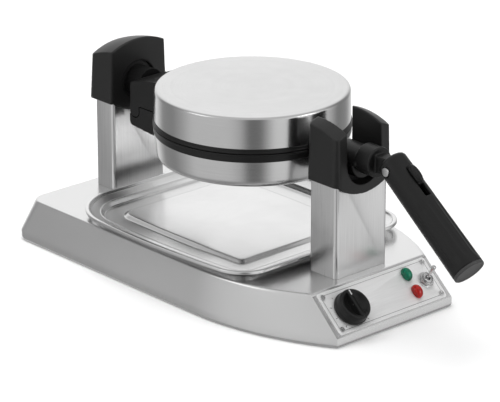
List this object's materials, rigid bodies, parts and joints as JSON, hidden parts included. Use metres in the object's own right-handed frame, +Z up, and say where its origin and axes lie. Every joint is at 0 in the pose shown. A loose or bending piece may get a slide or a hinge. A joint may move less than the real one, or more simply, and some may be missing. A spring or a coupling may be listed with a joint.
{
  "type": "rotary waffle maker",
  "caption": "Round hinged two-plate waffle maker head that flips over on a level shaft between two posts, on a tapered base with a drip tray and a folding handle.",
  "frame": {"origin": "middle of the whole footprint, handle included, on the surface that the feet stand on", "axes": "+Z up, +Y towards the rear post, -Y towards the control panel and the handle, +X to the right of a person who faces the panel"},
  "size_m": [0.26, 0.5666, 0.2133],
  "materials": {
    "base_paint": "satin silver-grey paint",
    "plate_steel": "plain zinc-plated steel",
    "rubber": "matte black",
    "screw_steel": "zinc-plated",
    "black_plastic": "fine matte black",
    "band_plastic": "heat-proof black",
    "ceramic_white": "glazed cream",
    "panel_metal": "satin",
    "green_lens": "clear green gloss",
    "red_lens": "clear red gloss",
    "lamp_white": "white",
    "chrome": "polished",
    "post_steel": "brushed along the height",
    "shell_steel": "satin brushed",
    "tray_steel": "polished",
    "grid_coating": "dark non-stick coated",
    "element_steel": "dull oxide grey",
    "bearing_plastic": "dark grey",
    "shaft_steel": "dark grey satin",
    "end_grey": "grey satin"
  },
  "bodies": {
    "base": {"base_shell": "base_paint", "base_plate": "plate_steel", "rubber_feet": "rubber", "base_screws": "screw_steel", "cord_gland": "black_plastic", "terminal_block": "ceramic_white", "panel_plate": "panel_metal", "panel_screws": "screw_steel", "thermostat": "ceramic_white", "lamp_holders": "lamp_white", "green_lens": "green_lens", "red_lens": "red_lens", "switch_body": "black_plastic", "switch_washer": "chrome", "switch_nut": "chrome", "front_post": "post_steel", "rear_post": "post_steel", "front_bracket": "plate_steel", "rear_bracket": "plate_steel", "post_bolts": "screw_steel", "post_nuts": "screw_steel", "front_cap": "black_plastic", "rear_cap": "black_plastic", "cap_screws": "screw_steel", "front_saddle": "bearing_plastic", "rear_bush": "bearing_plastic"},
    "switch": {"switch_lever": "chrome"},
    "knob": {"browning_knob": "black_plastic", "knob_spindle": "screw_steel"},
    "tray": {"drip_tray": "tray_steel"},
    "head_lower": {"lower_shell": "shell_steel", "lower_band": "band_plastic", "lower_grid": "grid_coating", "lower_element": "element_steel", "lower_reflector": "plate_steel", "lower_grid_screws": "screw_steel", "lower_arm": "black_plastic", "lower_hinge_block": "black_plastic", "lower_hinge_screws": "screw_steel", "rear_shaft": "shaft_steel", "hinge_pin": "screw_steel"},
    "head_upper": {"upper_shell": "shell_steel", "upper_band": "band_plastic", "upper_grid": "grid_coating", "upper_element": "element_steel", "upper_reflector": "plate_steel", "upper_grid_screws": "screw_steel", "upper_arm": "black_plastic", "upper_hinge_block": "black_plastic", "upper_hinge_screws": "screw_steel"},
    "handle": {"handle_shell": "black_plastic", "handle_end_cap": "end_grey", "pivot_screw": "screw_steel", "slider_spring": "screw_steel"},
    "slider": {"slider_button": "black_plastic", "latch_rod": "screw_steel"}
  },
  "joints": [
    {"name": "head_rotate", "type": "hinge", "parent": "base", "child": "head_lower", "pos_m": [0, 0.04335, 0.166], "axis": [0, 1, 0], "range_deg": [-180, 0]},
    {"name": "lid_open", "type": "hinge", "parent": "head_lower", "child": "head_upper", "pos_m": [0, 0.19935, 0.145], "axis": [-1, 0, 0], "range_deg": [0, 50]},
    {"name": "handle_fold", "type": "hinge", "parent": "head_upper", "child": "handle", "pos_m": [0, -0.16915, 0.171], "axis": [-1, 0, 0], "range_deg": [-52.3, 37.7]},
    {"name": "slider_press", "type": "slide", "parent": "handle", "child": "slider", "axis": [0, -0.7912, -0.6115], "range_m": [0, 0.006], "stiffness_N_per_m": 300, "deforming": ["slider_spring"]},
    {"name": "knob_turn", "type": "hinge", "parent": "base", "child": "knob", "pos_m": [-0.048, -0.15338, 0.02697], "axis": [0, -0.6702, 0.7422], "range_deg": [-135, 135]},
    {"name": "switch_tip", "type": "hinge", "parent": "base", "child": "switch", "pos_m": [0.062, -0.15323, 0.02979], "axis": [1, 0, 0], "range_deg": [0, 20]},
    {"name": "tray_pull", "type": "slide", "parent": "base", "child": "tray", "axis": [1, 0, 0], "range_m": [-0.27, 0.27]}
  ]
}
